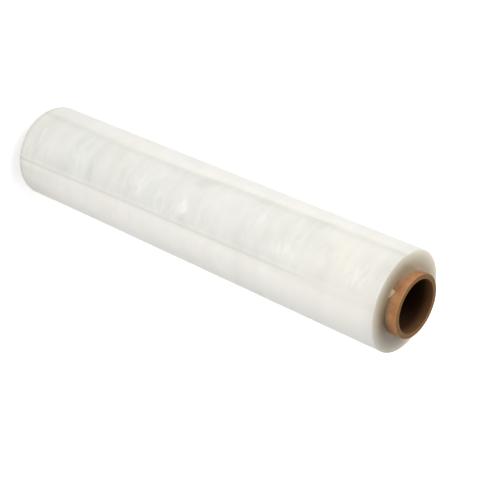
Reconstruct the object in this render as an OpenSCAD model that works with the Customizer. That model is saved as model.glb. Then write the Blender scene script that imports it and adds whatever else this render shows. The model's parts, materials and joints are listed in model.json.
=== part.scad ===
// Hand roll of clear stretch wrap: film wound on a paperboard core that stands out at both ends.
// Millimetres. The roll stands on its core's lower end, with +Z along its axis and the origin at
// the centre of that end. The side with the film's loose tail faces -Y.

/* [Core] */
// Inside diameter of the core, which takes a dispenser's spindle or a pair of hand grips
core_bore_d = 50.8; // [38:0.1:77]
// Thickness of the core's wall of wound paperboard
core_wall = 4.8; // [3:0.1:8]
// Bare core past the film at each end
core_overhang = 12; // [7:0.5:25]
// Bevel on the core's cut edges
core_bevel = 0.4; // [0.2:0.1:1]

/* [Film] */
// Width of the film, along the roll
film_width = 457; // [250:1:508]
// Depth of wound film on the core
film_build = 18.3; // [12:0.1:40]
// Rounding where the film's side turns into its ends
film_round = 1; // [0.5:0.5:4]

/* [Turns] */
// Distance between the turns that show on each end
turn_pitch = 1.6; // [1:0.1:3]
// Depth of the valley between two turns
turn_depth = 0.35; // [0.2:0.05:0.5]
// Width of that valley at the end's face
turn_valley = 0.7; // [0.4:0.05:0.9]

/* [Tail] */
// Direction of the film's cut end, in degrees round the roll from +X
tail_angle = -69.5; // [-180:0.5:180]
// Width of the loose last length, straight across from the crease to the cut end
tail_width = 51; // [20:1:60]
// How far trapped air lifts that length off the turns below
tail_lift = 0.3; // [0.1:0.05:0.6]
// How far the crease wanders from a straight line
crease_wander = 4.5; // [0:0.5:9]
// How far the cut end slants: it leans out by this at its foot, and back by nearly this at the top
cut_slant = 3.5; // [0:0.5:8]

/* [Starting tab] */
// Width of the scrap of the first turn that lies on the core at the top
tab_width = 8; // [2:0.5:12]
// Height of that scrap above the film's end
tab_height = 4; // [1:0.5:6]
// Its thickness, a few layers of film
tab_thick = 0.5; // [0.2:0.1:1]
// Its direction round the core, in degrees from +X
tab_angle = -93; // [-180:1:180]

/* [Hidden] */
$fn = 96;
bore_r = core_bore_d / 2;
core_r = bore_r + core_wall;
film_r = core_r + film_build;
core_length = film_width + 2 * core_overhang;
film_bottom = core_overhang;
film_top = film_bottom + film_width;
// Degrees from one point of the rounded edge to the next
round_step = 15;
// Extra length of a cutting body past the face that it cuts
past = 1;
// Courses of the crease and of the cut end up the roll: share of the film's width, then
// share of the crease's wander or the cut end's slant, positive towards the bare side
crease_course = [[0, 0], [0.15, 0.2], [0.3, 0.65], [0.48, 0.5], [0.56, 0], [0.66, -0.15], [0.78, -0.55],
  [0.9, -0.95], [1, -0.9]];
cut_course = [[0, 1], [0.13, 0.8], [0.25, 0.45], [0.4, 0.25], [0.6, 0.1], [0.75, -0.1], [0.87, -0.35],
  [1, -0.8]];

// Half of the core's section, with its four bevelled corners
module core_section() {
  polygon([
    [bore_r, core_bevel], [bore_r + core_bevel, 0],
    [core_r - core_bevel, 0], [core_r, core_bevel],
    [core_r, core_length - core_bevel], [core_r - core_bevel, core_length],
    [bore_r + core_bevel, core_length], [bore_r, core_length - core_bevel]
  ]);
}

// Spiral-wound paperboard tube, cut square
module core() {
  color("peru") rotate_extrude() core_section();
}

// Solid drum of wound film, raised by lift, with rounded edges
module drum(lift) {
  r = film_r + lift;
  lower = [for (a = [-90 : round_step : 0])
    [r - film_round + film_round * cos(a), film_bottom + film_round * (1 + sin(a))]];
  upper = [for (a = [0 : round_step : 90])
    [r - film_round + film_round * cos(a), film_top - film_round * (1 - sin(a))]];
  rotate_extrude() polygon(concat([[0, film_bottom]], lower, upper, [[0, film_top]]));
}

// One edge of the loose last length, flat, drawn past both ends of the film. X is measured from
// the cut end, positive towards the bare side, and Y is the height up the roll.
function tail_edge(course, at, swing) =
  let (ends = len(course) - 1)
  [for (i = [0 : ends])
    [at + swing * course[i][1],
     film_bottom + film_width * course[i][0] + past * (i == 0 ? -1 : i == ends ? 1 : 0)]];

function reversed(list) = [for (i = [len(list) - 1 : -1 : 0]) list[i]];

// Outline of the loose last length, from its cut end back to its crease
module tail_outline() {
  polygon(concat(tail_edge(cut_course, 0, cut_slant),
    reversed(tail_edge(crease_course, -tail_width, crease_wander))));
}

// The loose last length lies over the drum, lifted by the air under it. Its flat outline stands
// square to the roll at the middle of the length, and cuts it from a drum that is larger.
module tail() {
  half_span = asin(tail_width / 2 / film_r);
  intersection() {
    drum(tail_lift);
    rotate([0, 0, tail_angle - half_span]) translate([0, tail_width / 2, 0])
      rotate([90, 0, 90]) linear_extrude(height = film_r + tail_lift + past) tail_outline();
  }
}

// Teeth that press the valleys of half a turn into an end, with the turns shift further out
module valley_teeth(shift) {
  // Height over the face where the teeth join their plate
  root = turn_depth / 2;
  half = turn_valley / 2 * (1 + root / turn_depth);
  first = core_r + turn_pitch + shift;
  last = film_r - film_round - turn_pitch + shift;
  rotate_extrude(angle = 180) polygon(concat(
    [for (r = [first : turn_pitch : last]) each [[r - half, root], [r, -turn_depth], [r + half, root]]],
    [[last + turn_pitch, root], [last + turn_pitch, root + past], [first - half, root + past]]
  ));
}

// One spiral valley: two half circles a turn, each half about its own centre
module turn_valleys() {
  valley_teeth(0);
  translate([turn_pitch / 2, 0, 0]) rotate([0, 0, 180]) valley_teeth(turn_pitch / 2);
}

// Scrap of the film's first turn that sticks out along the core
module starting_tab() {
  span = 2 * asin(tab_width / 2 / core_r);
  rotate([0, 0, tab_angle - span / 2]) rotate_extrude(angle = span)
    translate([core_r - past, film_top - past]) square([past + tab_thick, past + tab_height]);
}

// Wound film: all its turns are one solid, tight on the core
module film() {
  color("ghostwhite") difference() {
    union() {
      drum(0);
      tail();
      starting_tab();
    }
    rotate([0, 0, tail_angle]) {
      translate([0, 0, film_top]) turn_valleys();
      translate([0, 0, film_bottom]) mirror([0, 0, 1]) turn_valleys();
    }
    translate([0, 0, film_bottom - past]) cylinder(r = core_r, h = film_width + tab_height + 2 * past);
  }
}

core();
film();
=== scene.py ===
import json
import math

import bmesh
import bpy
from mathutils import Matrix, Vector, noise


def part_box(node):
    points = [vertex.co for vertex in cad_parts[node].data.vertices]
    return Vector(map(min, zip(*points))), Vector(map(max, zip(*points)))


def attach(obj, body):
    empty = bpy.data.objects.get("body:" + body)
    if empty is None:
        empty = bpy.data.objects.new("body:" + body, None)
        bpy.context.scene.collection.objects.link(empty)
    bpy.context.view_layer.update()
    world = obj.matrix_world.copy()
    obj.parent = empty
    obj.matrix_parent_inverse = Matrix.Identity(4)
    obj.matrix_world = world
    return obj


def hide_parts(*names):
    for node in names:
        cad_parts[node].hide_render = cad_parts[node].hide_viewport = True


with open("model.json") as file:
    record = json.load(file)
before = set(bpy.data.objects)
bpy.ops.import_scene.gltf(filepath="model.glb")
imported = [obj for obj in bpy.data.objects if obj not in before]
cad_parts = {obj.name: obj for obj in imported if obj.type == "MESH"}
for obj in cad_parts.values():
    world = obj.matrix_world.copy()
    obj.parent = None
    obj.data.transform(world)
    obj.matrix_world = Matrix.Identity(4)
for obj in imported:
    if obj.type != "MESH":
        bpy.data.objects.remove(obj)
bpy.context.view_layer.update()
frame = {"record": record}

# Core: strips of kraft paperboard, glued and wound in a spiral into a stiff matt tube, then cut
# square. The plies show as rings on the cut ends, and the butt joint of the outer strip as a
# slanting line on the bare ends. The film is wound straight onto it.
MM = 0.001
MICRON = 1e-6
SAME_WITHIN = 5 * MICRON
CORE_LOW, CORE_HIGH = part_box("core")
MIDDLE_HEIGHT = (CORE_LOW.z + CORE_HIGH.z) / 2
CORE_BORE_R = frame["record"]["mounts"][0]["dims"]["r_mm"] * MM
CORE_WALL = 4.8 * MM
CORE_R = CORE_BORE_R + CORE_WALL
CORE_BEVEL = 0.4 * MM
CORE_SEGMENTS = 256
# The mesh is fine over these stretches from each end, and across the cut ends
OUTSIDE_SHOWN = 13 * MM
INSIDE_SHOWN = 45 * MM
CORE_CUTS_UP = 18
CORE_CUTS_ACROSS = 13
PLY = 0.6 * MM
PLY_RELIEF = 0.1 * MM
PLY_WAVER = 8 * MM
STRIP_RISE = 118 * MM
STRIP_START = 0.75
SEAM_WIDTH = 1.5 * MM
SEAM_DEPTH = 0.15 * MM


def smooth_step(low, high, value):
    """Runs from 0 at low to 1 at high, level at both ends."""
    share = min(max((value - low) / (high - low), 0.0), 1.0)
    return share * share * (3 - 2 * share)


def polar(point):
    """A point's distance from the roll's axis and its angle round it."""
    return math.hypot(point.x, point.y), math.atan2(point.y, point.x)


def place(vert, radius, angle, height):
    """Moves a vertex to a distance from the roll's axis, an angle round it and a height."""
    vert.co = Vector((radius * math.cos(angle), radius * math.sin(angle), height))


def same(a, b):
    """Whether two lengths are the same, give or take a few microns."""
    return abs(a - b) < SAME_WITHIN


def ring(bm, corners, segments):
    """Spins a closed outline, given as radius and height, into a ring round the roll's axis."""
    verts = [bm.verts.new((radius, 0, height)) for radius, height in corners]
    edges = [bm.edges.new((verts[i - 1], verts[i])) for i in range(len(verts))]
    bmesh.ops.spin(bm, geom=verts + edges, cent=(0, 0, 0), axis=(0, 0, 1),
                   angle=math.tau, steps=segments, use_merge=True)
    bmesh.ops.remove_doubles(bm, verts=bm.verts, dist=MICRON)
    bmesh.ops.recalc_face_normals(bm, faces=bm.faces)


def round_circle(bm, radius, height, width, segments):
    """Rounds the edge that runs round the mesh at one of its circles."""
    def on_circle(vert):
        return same(polar(vert.co)[0], radius) and same(vert.co.z, height)
    edges = [edge for edge in bm.edges if all(on_circle(vert) for vert in edge.verts)]
    bmesh.ops.bevel(bm, geom=edges, affect="EDGES", offset=width, segments=segments,
                    profile=0.5, material=-1)


def divide(bm, low, high, cuts, across=False):
    """Divides the upright edges between two heights into equal rows, or, for across, the level
    edges between two radii into equal rings."""
    found = []
    for edge in bm.edges:
        radii = [polar(vert.co)[0] for vert in edge.verts]
        heights = [vert.co.z for vert in edge.verts]
        if across:
            runs, span = same(*heights) and not same(*radii), radii
        else:
            runs, span = same(*radii) and not same(*heights), heights
        if runs and min(span) > low - SAME_WITHIN and max(span) < high + SAME_WITHIN:
            found.append(edge)
    bmesh.ops.subdivide_edges(bm, edges=found, cuts=cuts, use_grid_fill=True)


def finish_mesh(bm, name, material):
    """Makes the object of a finished mesh, smooth shaded, with its one material."""
    mesh = bpy.data.meshes.new(name)
    bm.to_mesh(mesh)
    bm.free()
    mesh.shade_smooth()
    mesh.materials.append(material)
    piece = bpy.data.objects.new(name, mesh)
    bpy.context.scene.collection.objects.link(piece)
    return piece


def linear(code):
    """The linear colour that an sRGB hex code stands for."""
    parts = [int(code[i:i + 2], 16) / 255 for i in (1, 3, 5)]
    return [part / 12.92 if part < 0.04045 else ((part + 0.055) / 1.055) ** 2.4
            for part in parts] + [1.0]


def new_material(name):
    """An empty material."""
    material = bpy.data.materials.new(name)
    material.use_nodes = True
    material.node_tree.nodes.clear()
    return material


def add_node(owner, kind, settings=None, links=None):
    """Adds a node to a material or to the world. A setting is a socket's name or number, one of
    the node's own properties, or stops, a ramp's places and colours. A link's source is a socket,
    or a node for its first output. A colour mix has its colours at sockets 6 and 7 and its result
    at output 2."""
    node = owner.node_tree.nodes.new(kind)
    for key, value in (settings or {}).items():
        if key == "stops":
            while len(node.color_ramp.elements) < len(value):
                node.color_ramp.elements.new(0.5)
            for element, (position, code) in zip(node.color_ramp.elements, value):
                element.position, element.color = position, linear(code)
        elif isinstance(key, int) or key in node.inputs:
            node.inputs[key].default_value = value
        else:
            setattr(node, key, value)
    for key, source in (links or {}).items():
        socket = source.outputs[0] if isinstance(source, bpy.types.Node) else source
        owner.node_tree.links.new(socket, node.inputs[key])
    return node


bm = bmesh.new()
low, high = CORE_LOW.z, CORE_HIGH.z
ring(bm, [(CORE_BORE_R, low), (CORE_R, low), (CORE_R, low + OUTSIDE_SHOWN),
          (CORE_R, high - OUTSIDE_SHOWN), (CORE_R, high), (CORE_BORE_R, high),
          (CORE_BORE_R, high - INSIDE_SHOWN), (CORE_BORE_R, low + INSIDE_SHOWN)], CORE_SEGMENTS)
for radius in (CORE_BORE_R, CORE_R):
    for height in (low, high):
        round_circle(bm, radius, height, CORE_BEVEL, 2)
divide(bm, CORE_BORE_R + CORE_BEVEL, CORE_R - CORE_BEVEL, CORE_CUTS_ACROSS, across=True)
divide(bm, low, low + INSIDE_SHOWN, CORE_CUTS_UP)
divide(bm, high - INSIDE_SHOWN, high, CORE_CUTS_UP)
for vert in bm.verts:
    radius, angle = polar(vert.co)
    height = vert.co.z
    depth = min(radius - CORE_BORE_R, CORE_R - radius)
    if depth > CORE_BEVEL - SAME_WITHIN:
        ply = (radius - CORE_BORE_R) / PLY
        relief = PLY_RELIEF * (0.55 + 0.45 * math.cos(math.tau * ply))
        relief *= 0.7 + 0.3 * noise.noise(vert.co / PLY_WAVER)
        vert.co.z += relief if height < MIDDLE_HEIGHT else -relief
    elif same(depth, 0):
        turns = height / STRIP_RISE - angle / math.tau - STRIP_START
        off_seam = abs(turns - round(turns)) * STRIP_RISE
        groove = SEAM_DEPTH * (1 - smooth_step(0, SEAM_WIDTH / 2, off_seam))
        place(vert, radius + (groove if same(radius, CORE_BORE_R) else -groove), angle, height)

# Kraft paperboard: unbleached brown fibre, calendered, so it is dull with a faint sheen. Short
# fibres and flecks mottle it, and the cut ends show its layers. The inner ply is dark board, painted
# darker still deeper in the bore as painted shade, which lifts over the last 12 mm to its mouth.
# Painted shade also darkens the foot of each bare end next to the film, less on the -X side, where
# the lamp falls.
CLOUD_SIZE = 14 * MM
# Real fibres are a few hundredths of a millimetre wide, too fine to show, so they are drawn coarse
FIBRE_SIZE = 0.7 * MM
FIBRE_TURN = (0.5, 0.9, 0.3)
FIBRE_DRAWN_OUT = (1, 0.2, 1)
NAP_DEPTH = 0.1 * MM
# How far past the bore the dark inner ply gives way to the cut end's layers
INNER_PLY_EDGE = (0.1 * MM, 0.35 * MM)
# How far in from the outside the cut end's layers give way to the outer ply
OUTER_PLY_EDGE = (0.4 * MM, 0.2 * MM)
# How far from the core's end the painted shade in the bore starts to lift, and has lifted
BORE_SHADE_LIFTS = (12 * MM, 1 * MM)
# The painted shade starts at the foot of the bare end and fades out over its own height
BARE_END = 12 * MM
FOOT_SHADE_HEIGHT = 7 * MM
# Where along X the painted shade starts to turn paler towards the lamp on the -X side, and is palest
FOOT_SHADE_LIT_SIDE = (-12 * MM, -30 * MM)

kraft = new_material("kraft_paperboard")
here = add_node(kraft, "ShaderNodeTexCoord").outputs["Object"]
level = add_node(kraft, "ShaderNodeVectorMath", {"operation": "MULTIPLY", 1: (1, 1, 0)}, {0: here})
off_axis = add_node(kraft, "ShaderNodeVectorMath", {"operation": "LENGTH"}, {0: level})
radius = off_axis.outputs["Value"]
parts = add_node(kraft, "ShaderNodeSeparateXYZ", links={0: here})
angle = add_node(kraft, "ShaderNodeMath", {"operation": "ARCTAN2"},
                 {0: parts.outputs["Y"], 1: parts.outputs["X"]})

cloud = add_node(kraft, "ShaderNodeTexNoise", {"Scale": 1 / CLOUD_SIZE, "Detail": 4},
                 {"Vector": here})
board = add_node(kraft, "ShaderNodeValToRGB", {"stops": [(0.35, "#9D6944"), (0.66, "#BA8A60")]},
                 {0: cloud})
fibre_run = add_node(kraft, "ShaderNodeMapping",
                     {"Rotation": FIBRE_TURN, "Scale": FIBRE_DRAWN_OUT}, {"Vector": here})
fibre = add_node(kraft, "ShaderNodeTexNoise", {"Scale": 1 / FIBRE_SIZE, "Detail": 3},
                 {"Vector": fibre_run})
flecks = add_node(kraft, "ShaderNodeMapRange",
                  {"From Min": 0.35, "From Max": 0.7, "To Min": 0.86, "To Max": 1.08}, {0: fibre})

rise = add_node(kraft, "ShaderNodeMath",
                {"operation": "MULTIPLY_ADD", 1: 1 / STRIP_RISE, 2: -STRIP_START},
                {0: parts.outputs["Z"]})
strips = add_node(kraft, "ShaderNodeMath", {"operation": "MULTIPLY_ADD", 1: -1 / math.tau},
                  {0: angle, 2: rise})
off_seam = add_node(kraft, "ShaderNodeMath", {"operation": "PINGPONG", 1: 0.5}, {0: strips})
seam = add_node(kraft, "ShaderNodeMapRange",
                {"From Max": SEAM_WIDTH / 2 / STRIP_RISE, "To Min": 0.6}, {0: off_seam})
plies = add_node(kraft, "ShaderNodeMath",
                 {"operation": "MULTIPLY_ADD", 1: 1 / PLY, 2: -CORE_BORE_R / PLY}, {0: radius})
off_ply = add_node(kraft, "ShaderNodeMath", {"operation": "PINGPONG", 1: 0.5}, {0: plies})
layers = add_node(kraft, "ShaderNodeMapRange", {"From Max": 0.3, "To Min": 0.72}, {0: off_ply})

on_cut = add_node(kraft, "ShaderNodeMapRange",
                  {"From Min": CORE_BORE_R + INNER_PLY_EDGE[0],
                   "From Max": CORE_BORE_R + INNER_PLY_EDGE[1]}, {0: radius})
on_outside = add_node(kraft, "ShaderNodeMapRange",
                      {"From Min": CORE_R - OUTER_PLY_EDGE[0],
                       "From Max": CORE_R - OUTER_PLY_EDGE[1]}, {0: radius})
from_middle = add_node(kraft, "ShaderNodeMath", {"operation": "SUBTRACT", 1: MIDDLE_HEIGHT},
                       {0: parts.outputs["Z"]})
from_middle = add_node(kraft, "ShaderNodeMath", {"operation": "ABSOLUTE"}, {0: from_middle})
bore_shade_lifting = add_node(kraft, "ShaderNodeMapRange",
                    {"interpolation_type": "SMOOTHSTEP",
                     "From Min": MIDDLE_HEIGHT - BORE_SHADE_LIFTS[0],
                     "From Max": MIDDLE_HEIGHT - BORE_SHADE_LIFTS[1]}, {0: from_middle})
# The inner ply, with painted shade deeper in the bore
inner_ply_and_bore_shade = add_node(kraft, "ShaderNodeMix",
                  {"data_type": "RGBA", 6: linear("#432816"), 7: linear("#825937")}, {0: bore_shade_lifting})
tone = add_node(kraft, "ShaderNodeMix", {"data_type": "RGBA", 7: linear("#8E704F")},
                {0: on_cut, 6: inner_ply_and_bore_shade.outputs[2]})
tone = add_node(kraft, "ShaderNodeMix", {"data_type": "RGBA"},
                {0: on_outside, 6: tone.outputs[2], 7: board})
marks = add_node(kraft, "ShaderNodeMix", {"data_type": "FLOAT"}, {0: on_outside, 2: layers, 3: seam})
marks = add_node(kraft, "ShaderNodeMath", {"operation": "MULTIPLY"}, {0: marks, 1: flecks})
tone = add_node(kraft, "ShaderNodeVectorMath", {"operation": "SCALE"},
                {0: tone.outputs[2], "Scale": marks})

# Painted shade at the foot of each bare end, next to the film, paler on the lit -X side
foot_shade = add_node(kraft, "ShaderNodeMapRange",
                    {"interpolation_type": "SMOOTHSTEP", "From Min": MIDDLE_HEIGHT - BARE_END,
                     "From Max": MIDDLE_HEIGHT - BARE_END + FOOT_SHADE_HEIGHT,
                     "To Min": 0.75, "To Max": 0.0}, {0: from_middle})
foot_shade = add_node(kraft, "ShaderNodeMath", {"operation": "MULTIPLY"}, {0: foot_shade, 1: on_outside})
lit_side = add_node(kraft, "ShaderNodeMapRange",
                 {"From Min": FOOT_SHADE_LIT_SIDE[0], "From Max": FOOT_SHADE_LIT_SIDE[1]}, {0: parts.outputs["X"]})
foot_shade_tone = add_node(kraft, "ShaderNodeMix",
                {"data_type": "RGBA", 6: linear("#8E725B"), 7: linear("#AC9F8C")}, {0: lit_side})
tone = add_node(kraft, "ShaderNodeMix", {"data_type": "RGBA"},
                {0: foot_shade, 6: tone, 7: foot_shade_tone.outputs[2]})
nap = add_node(kraft, "ShaderNodeBump", {"Strength": 0.35, "Distance": NAP_DEPTH},
               {"Height": fibre})
shader = add_node(kraft, "ShaderNodeBsdfPrincipled", {"Roughness": 0.85, "Specular IOR Level": 0.1},
                  {"Base Color": tone.outputs[2], "Normal": nap})
add_node(kraft, "ShaderNodeOutputMaterial", links={0: shader})

core = finish_mesh(bm, "core_tube", kraft)
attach(core, "root")
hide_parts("core")

# Film: one long web of clear polyethylene stretch film, wound tight on the core by machine. Its
# edges build up the two ends turn by turn. The last length came loose at the cut end and lies
# back on the roll with air under it, from a wandering crease to the slanting cut end.
FILM_BUILD = 18.3 * MM
FILM_R = CORE_R + FILM_BUILD
FILM_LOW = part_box("film")[0].z
FILM_HIGH = CORE_HIGH.z - FILM_LOW
FILM_ROUND = 1 * MM
FILM_SEGMENTS = 320
FILM_CUTS_UP = 150
FILM_CUTS_ACROSS = 44
FILM_RIPPLE = 0.09 * MM
RIPPLE_SIZE = 24 * MM
# The real turns are about 0.015 mm apart, too fine to show, so a coarse spiral stands for them
TURN_PITCH = 1.6 * MM
TURN_DEPTH = 0.35 * MM
TURN_EASING = 1 * MM
TURN_GRAIN = 1.1 * MM
TURN_GRAIN_DEPTH = 0.12 * MM
# The grain is read on this small circle, so that it is drawn out along the turns
GRAIN_CIRCLE = 20 * MM
CUT_ANGLE = math.radians(-69.5)
TAIL_WIDTH = 51 * MM
TAIL_SPAN = 2 * math.asin(TAIL_WIDTH / 2 / FILM_R)
TAIL_LIFT = 0.3 * MM
CREASE_RIDGE = 0.08 * MM
HEM = 6 * MM
# Angles back from the cut end, in radians, where the mesh gets a line of its own
EXTRA_LINES = (-0.02, -0.004, 0.004, 0.02, HEM / FILM_R, TAIL_SPAN)
# Places where the loose length holds air, or, where the last number is below 0, is pressed flat:
# height, distance back from the cut end, size up the roll and size round it, all in millimetres,
# then how much. Where air is held the film is also painted whiter, partly as painted highlights.
AIR_POCKETS = [(242, 17, 9, 13, 1.2), (243, 6, 8, 8, -0.8), (244, 46, 20, 13, -0.7),
               (209, 14, 13, 20, 0.5), (180, 17, 12, 16, 0.4), (115, 18, 9, 32, -0.6),
               (97, 27, 11, 38, 0.25), (56, 20, 26, 26, 0.1), (80, 8, 14, 16, -0.4),
               (361, 16, 26, 13, 0.6), (444, 18, 20, 18, 0.6), (307, 12, 22, 18, -0.4),
               (405, 18, 8, 9, 0.5), (462, 32, 9, 20, -0.5), (300, 34, 30, 22, -0.3),
               (400, 33, 22, 13, -0.5), (33, 29, 9, 12, 0.5), (63, 32, 12, 14, -0.4)]
# Where the crease and the cut run: share of the film's width, then millimetres off a straight
# line, counted the way that leads from the crease to the cut
CREASE_COURSE = [(0, -2), (0.15, -0.6), (0.3, 1.6), (0.48, 0.8), (0.54, -2.2), (0.66, -2.4),
                 (0.78, -4.3), (0.9, -6), (1, -5.5)]
CUT_COURSE = [(0, 4.1), (0.13, 3.3), (0.25, 1.9), (0.4, 1), (0.6, 0.4), (0.75, -0.4),
              (0.87, -1.4), (1, -3.3)]
# How closely the film is folded along the crease, shown as a darker line, partly painted shade:
# share of the film's width, then how much
CREASE_FOLDS = [(0, 0.7), (0.12, 1.1), (0.2, 0.5), (0.3, 0.7), (0.42, 1.5), (0.5, 1.2),
                (0.56, 0.8), (0.62, 1.4), (0.69, 1.5), (0.73, 0.3), (0.77, 0.8), (0.8, 2.4),
                (0.83, 1.8), (0.85, 0), (0.94, 0.2), (0.98, 1.2), (1, 1.2)]
# How much darker the film is painted, from 0 for the plain side up to 1, and how far the marks of
# its two edges reach. The lines along the cut end, its hem and the crease are partly the film's own
# edges and folds and partly painted shade; beside them and towards the ends it is painted shade.
# Other reaches of marks are in radians round the roll or lengths up it.
CUT_DENSITY_AND_SHADE = 0.42
HEM_DENSITY_AND_SHADE = 0.06
CREASE_DENSITY_AND_SHADE = 0.21
FOLD_DENSITY_AND_SHADE = 0.13
LOW_EDGE_SHADE = 0.5
LOW_EDGE = 2.2 * MM
HIGH_EDGE_SHADE = 0.28
HIGH_EDGE = 8 * MM


def width_share(height):
    """The share of the film's width that lies below a height."""
    return (height - FILM_LOW) / (FILM_HIGH - FILM_LOW)


def along(course, share):
    """What a course says at a share of the film's width, its corners eased."""
    value = 0
    for near in (share - 0.02, share - 0.01, share, share + 0.01, share + 0.02):
        near = min(max(near, 0), 1)
        for (a, value_a), (b, value_b) in zip(course, course[1:]):
            if a <= near <= b:
                value += 0.2 * (value_a + (value_b - value_a) * (near - a) / (b - a))
                break
    return value


def wave(size, *point):
    """Smooth noise from -1 to 1 with features of about a given size."""
    return noise.noise(Vector(point) / size)


def hump(distance, reach):
    """Runs from 1 at no distance down to nearly nothing at twice the reach."""
    return math.exp(-(distance / reach) ** 2)


def fade(distance, length):
    """Runs from 1 at no distance down, and loses about two thirds over each length."""
    return math.exp(-distance / length)


def air_under(back, height):
    """How much air the loose length holds, at an angle back from the cut end."""
    held = 0
    for up, across, length, width, much in AIR_POCKETS:
        off = math.hypot((height / MM - up) / length, (back * FILM_R / MM - across) / width)
        held += much * hump(off, 0.5)
    return held


def film_lift(back, height):
    """How far the outside stands off the tight roll, at an angle back from the cut end."""
    lift = FILM_RIPPLE * (wave(RIPPLE_SIZE, 0, height, 5) - 1)
    if 0 <= back <= TAIL_SPAN:
        lift += 0.7 * TAIL_LIFT * smooth_step(0, 0.2, TAIL_SPAN - back)
        lift += 0.2 * TAIL_LIFT * max(air_under(back, height), -0.5)
    return lift + CREASE_RIDGE * hump(back - TAIL_SPAN, 0.03)


def density_and_shade_at_cut(back, height):
    """How much darker the film is painted along the cut end and its hem, partly their own edges and
    partly painted shade, and the painted shade beside them.
    """
    share = width_share(height)
    fading = 1 - 0.9 * smooth_step(0.7, 0.92, share)
    line = (CUT_DENSITY_AND_SHADE + 0.08 * wave(40 * MM, 0, height, 9)) * hump(back + 0.002, 0.034)
    hem = HEM_DENSITY_AND_SHADE * (1 + wave(50 * MM, 0, height, 2)) * hump(back - HEM / FILM_R, 0.03)
    shade_beside = 0.09 * hump(back + 0.06, 0.06)
    shade_beside += 0.09 * smooth_step(0.65, 0.85, share) * hump(back + 0.08, 0.1)
    shade_beside += 0.09 * (1 - smooth_step(0.25, 0.5, share)) * hump(back - 0.2, 0.1)
    return fading * (line + hem) + shade_beside


def density_and_shade_at_crease(back, height):
    """How much darker the film is painted along the crease and its small folds, partly the folds
    themselves and partly painted shade, and the painted shade beside them and over the loose length."""
    share = width_share(height)
    past = back - TAIL_SPAN
    folds = FOLD_DENSITY_AND_SHADE * along(CREASE_FOLDS, share) + 0.05 * wave(12 * MM, 0, height, 7)
    shade_beside = 0.08 * (1 - smooth_step(0.25, 0.5, share)) * hump(past - 0.13, 0.08)
    if 0 < back < TAIL_SPAN:
        shade_beside += 0.03 * fade(back, 0.15) + 0.08 * fade(-past, 0.25)
    return CREASE_DENSITY_AND_SHADE * hump(past, 0.09) + folds * hump(past, 0.035) + shade_beside


def shade_at_ends(back, height):
    """The painted shade on the film towards its low and its high end."""
    from_low, from_high = height - FILM_LOW, FILM_HIGH - height
    past_crease = smooth_step(0, 0.3, back - TAIL_SPAN)
    marks = LOW_EDGE_SHADE * hump(from_low, LOW_EDGE) + 0.08 * fade(from_low, 40 * MM)
    marks += 0.35 * smooth_step(0, 0.25, -back) * fade(from_low, 35 * MM)
    marks += 0.15 * hump(back + 0.2, 0.12) * fade(from_low, 120 * MM)
    marks += (0.1 + 0.15 * past_crease) * fade(from_high, 60 * MM)
    edge = HIGH_EDGE_SHADE + 0.3 * hump(back - 0.7, 0.2) - 0.12 * past_crease
    return marks + edge * fade(from_high, HIGH_EDGE)


bm = bmesh.new()
loose = bm.verts.layers.float.new("loose")
marked = bm.verts.layers.float.new("marked")
airy = bm.verts.layers.float.new("airy")
low, high = FILM_LOW, FILM_HIGH
ring(bm, [(CORE_R, low), (FILM_R, low), (FILM_R, high), (CORE_R, high)], FILM_SEGMENTS)
for height in (low, high):
    round_circle(bm, FILM_R, height, FILM_ROUND, 3)
divide(bm, CORE_R, FILM_R - FILM_ROUND, FILM_CUTS_ACROSS, across=True)
divide(bm, low + FILM_ROUND, high - FILM_ROUND, FILM_CUTS_UP)
for back in EXTRA_LINES:
    angle = CUT_ANGLE - back
    way = Vector((math.cos(angle), math.sin(angle), 0))
    near = [face for face in bm.faces if way.dot(face.calc_center_median()) > 0]
    rim = {edge for face in near for edge in face.edges}
    corners = {vert for edge in rim for vert in edge.verts}
    bmesh.ops.bisect_plane(bm, geom=near + list(rim) + list(corners), dist=MICRON,
                           plane_co=(0, 0, 0), plane_no=(-way.y, way.x, 0))
for vert in bm.verts:
    radius, angle = polar(vert.co)
    height = vert.co.z
    back = (CUT_ANGLE - angle + math.pi) % math.tau - math.pi
    share = width_share(height)
    outer = smooth_step(FILM_R - FILM_ROUND, FILM_R, radius)
    # Painted shade and the darker lines of the film's edges and folds
    marks = density_and_shade_at_cut(back, height) + density_and_shade_at_crease(back, height) + shade_at_ends(back, height)
    vert[marked] = outer * marks
    vert[loose] = outer * smooth_step(-0.02, 0.09, back) * smooth_step(0, 0.06, TAIL_SPAN - back)
    # Whiter where air lies under the loose length, partly as painted highlights
    vert[airy] = vert[loose] * air_under(back, height)
    swing = along(CUT_COURSE, share) * MM * hump(back, 0.5)
    swing += along(CREASE_COURSE, share) * MM * hump(back - TAIL_SPAN, 0.5)
    if radius > FILM_R - FILM_ROUND + SAME_WITHIN:
        radius += outer * film_lift(back, height)
    elif radius > CORE_R + SAME_WITHIN:
        turn = (radius - CORE_R) / TURN_PITCH + back / math.tau
        valley = TURN_DEPTH * (0.5 + 0.5 * math.cos(math.tau * turn)) ** 2
        around = GRAIN_CIRCLE * Vector((math.cos(angle), math.sin(angle)))
        valley += TURN_GRAIN_DEPTH * (1 + wave(TURN_GRAIN, radius, around.x, around.y))
        valley *= smooth_step(0, TURN_EASING, FILM_R - FILM_ROUND - radius)
        height += valley if height < MIDDLE_HEIGHT else -valley
    place(vert, radius, angle + outer * swing / FILM_R, height)

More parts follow.
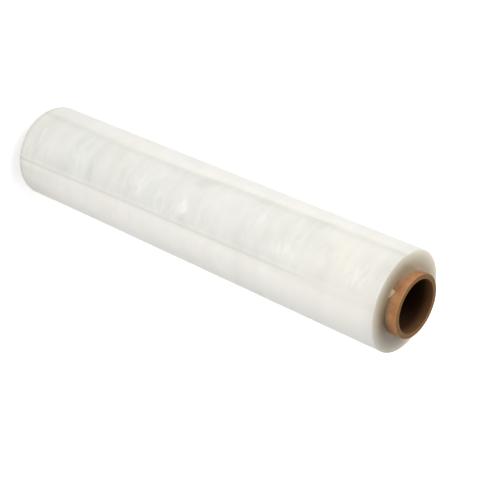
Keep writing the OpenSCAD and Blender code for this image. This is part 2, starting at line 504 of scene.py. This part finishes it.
# Clear stretch film on the roll: hundreds of glossy layers scatter light, so the roll is a
# milky, slightly warm white that light enters a little way. Where air lies between layers it is
# whiter, partly as painted highlights, and where they wet each other greyer. Painted shade and
# darker lines run along the cut end and the crease, and painted shade darkens the side towards its
# ends. The ends are darker towards the core, partly the core showing brown through and partly
# painted shade, and painted shade greys them towards +X, the side in the core's shadow.
PATCH_ROUND = 38 * MM
PATCH_UP = 30 * MM
BAND_UP = 22 * MM
STREAK_ROUND = 12 * MM
STREAK_UP = 4 * MM
STREAK_DEPTH = 0.2 * MM
GROUP_SIZE = 48 * MM
CAST_SIZE = 75 * MM
# How far from the near end the streaks start to calm, and are calm
CALM_END = (85 * MM, 55 * MM)
# Where along X the painted shade on the ends starts, towards the +X side in the core's shadow
ENDS_SHADE_FROM = 24 * MM
# How far in from the outside the look of the ends gives way to the side's
SIDE_EDGE = (0.9 * MM, 0.3 * MM)
LIGHT_DEPTH = 5 * MM

web = new_material("clear_stretch_film")
here = add_node(web, "ShaderNodeTexCoord").outputs["Object"]
level = add_node(web, "ShaderNodeVectorMath", {"operation": "MULTIPLY", 1: (1, 1, 0)}, {0: here})
off_axis = add_node(web, "ShaderNodeVectorMath", {"operation": "LENGTH"}, {0: level})
radius = off_axis.outputs["Value"]
parts = add_node(web, "ShaderNodeSeparateXYZ", links={0: here})
slack = add_node(web, "ShaderNodeAttribute", {"attribute_name": "loose"}).outputs["Fac"]
marks = add_node(web, "ShaderNodeAttribute", {"attribute_name": "marked"}).outputs["Fac"]
air_and_highlight_tone = add_node(web, "ShaderNodeAttribute", {"attribute_name": "airy"}).outputs["Fac"]

patch_run = add_node(web, "ShaderNodeMapping",
                     {"Scale": (1 / PATCH_ROUND, 1 / PATCH_ROUND, 1 / PATCH_UP)}, {"Vector": here})
patches = add_node(web, "ShaderNodeTexNoise", {"Scale": 1, "Detail": 3}, {"Vector": patch_run})
band_run = add_node(web, "ShaderNodeMapping", {"Scale": (0, 0, 1 / BAND_UP)}, {"Vector": here})
bands = add_node(web, "ShaderNodeTexNoise", {"Scale": 1, "Detail": 2}, {"Vector": band_run})
broad = add_node(web, "ShaderNodeMath", {"operation": "ADD"}, {0: patches, 1: bands})

streak_run = add_node(web, "ShaderNodeMapping",
                      {"Scale": (1 / STREAK_ROUND, 1 / STREAK_ROUND, 1 / STREAK_UP)},
                      {"Vector": here})
streaks = add_node(web, "ShaderNodeTexNoise", {"Scale": 1, "Detail": 2}, {"Vector": streak_run})
groups = add_node(web, "ShaderNodeTexNoise", {"Scale": 1 / GROUP_SIZE, "Detail": 1},
                  {"Vector": here})
gathered = add_node(web, "ShaderNodeMapRange",
                    {"From Min": 0.44, "From Max": 0.6, "To Min": 0.2, "To Max": 1.3}, {0: groups})
streaks_off = add_node(web, "ShaderNodeMath", {"operation": "SUBTRACT", 1: 0.5}, {0: streaks})
gathered = add_node(web, "ShaderNodeMath", {"operation": "MULTIPLY"}, {0: gathered, 1: streaks_off})
near_end = add_node(web, "ShaderNodeMapRange",
                    {"From Min": FILM_HIGH - CALM_END[0], "From Max": FILM_HIGH - CALM_END[1]},
                    {0: parts.outputs["Z"]})
smoother = add_node(web, "ShaderNodeMapRange", {"To Min": 1.0, "To Max": 0.4}, {0: near_end})
gathered = add_node(web, "ShaderNodeMath", {"operation": "MULTIPLY"}, {0: gathered, 1: smoother})

contrast = add_node(web, "ShaderNodeMapRange", {"To Min": 0.4, "To Max": 0.75}, {0: slack})
mottle = add_node(web, "ShaderNodeMath", {"operation": "MULTIPLY_ADD", 1: 0.8},
                  {0: gathered, 2: broad})
mottle = add_node(web, "ShaderNodeMath", {"operation": "SUBTRACT", 1: 1.0}, {0: mottle})
mottle = add_node(web, "ShaderNodeMath", {"operation": "MULTIPLY_ADD", 2: 0.7},
                  {0: mottle, 1: contrast})
mottle = add_node(web, "ShaderNodeMath", {"operation": "MULTIPLY_ADD", 1: -0.38},
                  {0: slack, 2: mottle})
# Whiter where air is held, partly painted highlights
blotch = add_node(web, "ShaderNodeMapRange",
                  {"From Min": 0.3, "From Max": 0.7, "To Min": -0.1, "To Max": 1.0}, {0: streaks})
mottle = add_node(web, "ShaderNodeMath", {"operation": "MULTIPLY_ADD"},
                  {0: air_and_highlight_tone, 1: blotch, 2: mottle})

cool = add_node(web, "ShaderNodeValToRGB", {"stops": [(0.0, "#DBDBD5"), (1.0, "#F6F6F2")]},
                {0: mottle})
warm = add_node(web, "ShaderNodeValToRGB", {"stops": [(0.0, "#E3E0D7"), (1.0, "#FCFAF3")]},
                {0: mottle})
cast = add_node(web, "ShaderNodeTexNoise", {"Scale": 1 / CAST_SIZE, "Detail": 2},
                {"Vector": here})
cast = add_node(web, "ShaderNodeMath", {"operation": "MULTIPLY_ADD", 1: -0.4},
                {0: slack, 2: cast})
cast = add_node(web, "ShaderNodeMath", {"operation": "MULTIPLY_ADD", 1: 0.35},
                {0: near_end, 2: cast})
warmth = add_node(web, "ShaderNodeMapRange", {"From Min": -0.1, "From Max": 0.6}, {0: cast})
side = add_node(web, "ShaderNodeMix", {"data_type": "RGBA"}, {0: warmth, 6: cool, 7: warm})
# Painted shade and the darker lines of the film's edges and folds, towards a grey
side = add_node(web, "ShaderNodeMix", {"data_type": "RGBA", 7: linear("#C9C8BF")},
                {0: marks, 6: side.outputs[2]})

depth = add_node(web, "ShaderNodeMapRange", {"From Min": CORE_R, "From Max": FILM_R}, {0: radius})
# The ends run from brown-grey by the core to pale by the outside: partly the core showing through,
# partly painted shade for ends less lit than the side
ends_tone_and_shade = add_node(web, "ShaderNodeValToRGB",
                {"stops": [(0.0, "#BCA78F"), (0.08, "#A8937B"), (0.3, "#AD9D84"),
                           (0.62, "#CFC3AC"), (0.92, "#EBE5D4")]}, {0: depth})
# Painted shade on the ends, darker towards +X
ends_shade = add_node(web, "ShaderNodeMapRange",
                {"From Min": ENDS_SHADE_FROM, "From Max": FILM_R, "To Min": 1.0, "To Max": 0.7},
                {0: parts.outputs["X"]})
ends_tone_and_shade = add_node(web, "ShaderNodeVectorMath", {"operation": "SCALE"}, {0: ends_tone_and_shade, "Scale": ends_shade})
on_side = add_node(web, "ShaderNodeMapRange",
                   {"From Min": FILM_R - SIDE_EDGE[0], "From Max": FILM_R - SIDE_EDGE[1]},
                   {0: radius})
on_side = add_node(web, "ShaderNodeMath", {"operation": "MAXIMUM"}, {0: on_side, 1: slack})
tone = add_node(web, "ShaderNodeMix", {"data_type": "RGBA"},
                {0: on_side, 6: ends_tone_and_shade, 7: side.outputs[2]})
ripple = add_node(web, "ShaderNodeBump", {"Strength": 0.25, "Distance": STREAK_DEPTH},
                  {"Height": gathered})
shader = add_node(web, "ShaderNodeBsdfPrincipled",
                  {"Roughness": 0.42, "IOR": 1.45, "Specular IOR Level": 0.28,
                   "Subsurface Weight": 0.5, "Subsurface Radius": (1, 0.93, 0.82),
                   "Subsurface Scale": LIGHT_DEPTH},
                  {"Base Color": tone.outputs[2], "Normal": ripple})
add_node(web, "ShaderNodeOutputMaterial", links={0: shader})

film = finish_mesh(bm, "film_roll", web)
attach(film, "root")
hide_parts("film")

# Starting tab: a scrap of the film's first turn that sticks out along the core at the near end,
# torn along its free edge. It is a few layers thick, so the kraft board shows through it.
TAB_ANGLE = math.radians(-93)
TAB_WIDTH = 8 * MM
TAB_HEIGHT = 4 * MM
TAB_THICK = 0.2 * MM
TAB_TUCK = 0.3 * MM
TAB_GAP = 0.1 * MM
TAB_CURL = 1.1 * MM

bm = bmesh.new()
bmesh.ops.create_grid(bm, x_segments=16, y_segments=8, size=0.5)
for vert in bm.verts:
    across, up = vert.co.x, vert.co.y + 0.5
    narrowed = 1 - 0.25 * up * up
    ragged = 1 - 0.5 * smooth_step(-0.2, 0.5, across)
    ragged -= 0.25 * (0.5 + 0.5 * wave(0.25, across, 0, 4))
    curl = TAB_GAP + TAB_CURL * (1 - smooth_step(0, 0.6, up))
    place(vert, CORE_R + curl, TAB_ANGLE + across * narrowed * TAB_WIDTH / CORE_R,
          FILM_HIGH + up * ragged * TAB_HEIGHT - TAB_TUCK)
bmesh.ops.recalc_face_normals(bm, faces=bm.faces)
bmesh.ops.solidify(bm, geom=bm.faces[:], thickness=-TAB_THICK)
bmesh.ops.recalc_face_normals(bm, faces=bm.faces)

# The same film, laid flat on kraft board: smooth and glossy, and beige from the board below.
FOLD_SIZE = 2.5 * MM
FOLD_DEPTH = 0.2 * MM

scrap = new_material("film_over_kraft")
here = add_node(scrap, "ShaderNodeTexCoord").outputs["Object"]
folds = add_node(scrap, "ShaderNodeTexNoise", {"Scale": 1 / FOLD_SIZE, "Detail": 2},
                 {"Vector": here})
tone = add_node(scrap, "ShaderNodeValToRGB", {"stops": [(0.35, "#B39474"), (0.65, "#CDB296")]},
                {0: folds})
ripple = add_node(scrap, "ShaderNodeBump", {"Strength": 0.3, "Distance": FOLD_DEPTH},
                  {"Height": folds})
shader = add_node(scrap, "ShaderNodeBsdfPrincipled",
                  {"Roughness": 0.42, "IOR": 1.45, "Specular IOR Level": 0.28},
                  {"Base Color": tone, "Normal": ripple})
add_node(scrap, "ShaderNodeOutputMaterial", links={0: shader})

tab = finish_mesh(bm, "starting_tab", scrap)
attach(tab, "root")
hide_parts("film")

# Studio: a white sheet for the floor, three soft lamps round the roll, a pale room, and the
# camera where it stood for the photograph. Where the sheet and the room are seen, straight or in
# a gloss, they look white, and the roll's shadow stays on the sheet. Distances are in metres.
FLOOR_REACH = 6.0
# How far from the roll the sheet's glow starts to grow and is full, then its strength at the roll
GLOW_STARTS = 1.0
GLOW_FULL = 3.0
GLOW_AT_ROLL = 0.66
ROOM_LIGHT = 0.25

bm = bmesh.new()
bmesh.ops.create_grid(bm, x_segments=1, y_segments=1, size=FLOOR_REACH)
sheet = new_material("white_floor")
rays = add_node(sheet, "ShaderNodeLightPath")
seen = add_node(sheet, "ShaderNodeMath", {"operation": "MAXIMUM"},
                {0: rays.outputs["Is Glossy Ray"], 1: rays.outputs["Is Transmission Ray"]})
seen = add_node(sheet, "ShaderNodeMath", {"operation": "MAXIMUM"},
                {0: seen, 1: rays.outputs["Is Camera Ray"]})
matt = add_node(sheet, "ShaderNodeBsdfDiffuse", {"Color": linear("#D8D8D8")})
here = add_node(sheet, "ShaderNodeTexCoord").outputs["Object"]
away = add_node(sheet, "ShaderNodeVectorMath", {"operation": "LENGTH"}, {0: here})
strength = add_node(sheet, "ShaderNodeMapRange",
                    {"From Min": GLOW_STARTS, "From Max": GLOW_FULL, "To Min": GLOW_AT_ROLL,
                     "To Max": 1.0}, {0: away.outputs["Value"]})
glow = add_node(sheet, "ShaderNodeEmission", {"Color": (1, 1, 1, 1)}, {"Strength": strength})
lit = add_node(sheet, "ShaderNodeAddShader", links={0: matt, 1: glow})
sheet_look = add_node(sheet, "ShaderNodeMixShader", links={0: seen, 1: matt, 2: lit})
add_node(sheet, "ShaderNodeOutputMaterial", links={0: sheet_look})
floor = finish_mesh(bm, "floor", sheet)

world = bpy.data.worlds.new("studio")
bpy.context.scene.world = world
world.use_nodes = True
rays = add_node(world, "ShaderNodeLightPath")
seen = add_node(world, "ShaderNodeMath", {"operation": "MAXIMUM"},
                {0: rays.outputs["Is Camera Ray"], 1: rays.outputs["Is Glossy Ray"]})
strength = add_node(world, "ShaderNodeMapRange", {"To Min": ROOM_LIGHT, "To Max": 1.0}, {0: seen})
room = world.node_tree.nodes["Background"]
room.inputs["Color"].default_value = (1, 1, 1, 1)
world.node_tree.links.new(strength.outputs[0], room.inputs["Strength"])

MIDDLE = Vector((0, 0, MIDDLE_HEIGHT))
LAMP_DISTANCE = 2.0
LAMP_SIZE = 1.3


def add_lamp(name, azimuth, elevation, power):
    """A soft square lamp that faces the roll, from a direction in degrees."""
    light = bpy.data.lights.new(name, "AREA")
    light.size = LAMP_SIZE
    light.energy = power
    turned, raised = math.radians(azimuth), math.radians(elevation)
    way = Vector((math.cos(turned) * math.cos(raised), math.sin(turned) * math.cos(raised),
                  math.sin(raised)))
    lamp = bpy.data.objects.new(name, light)
    lamp.location = MIDDLE + LAMP_DISTANCE * way
    lamp.rotation_euler = way.to_track_quat("Z", "Y").to_euler()
    bpy.context.scene.collection.objects.link(lamp)


add_lamp("lamp_left", -170, 40, 26.3)
add_lamp("lamp_front", -73, 5, 29.5)
add_lamp("lamp_back", 80, 20, 12)

CAMERA_PLACE = Vector((0, -1.0087, 0.9954))
CAMERA_AIM = Vector((0.0083, 0, 0.2819))
CAMERA_ROLL = math.radians(113.6)
# The lens and the sensor are in millimetres
CAMERA_LENS = 97.4
CAMERA_SENSOR = 36
camera_data = bpy.data.cameras.new("camera")
camera_data.lens = CAMERA_LENS
camera_data.sensor_width = CAMERA_SENSOR
camera = bpy.data.objects.new("camera", camera_data)
camera.location = CAMERA_PLACE
facing = (CAMERA_AIM - CAMERA_PLACE).to_track_quat("-Z", "Y").to_matrix()
camera.rotation_euler = (facing @ Matrix.Rotation(CAMERA_ROLL, 3, "Z")).to_euler()
bpy.context.scene.collection.objects.link(camera)
bpy.context.scene.camera = camera
bpy.context.scene.view_settings.view_transform = "Standard"
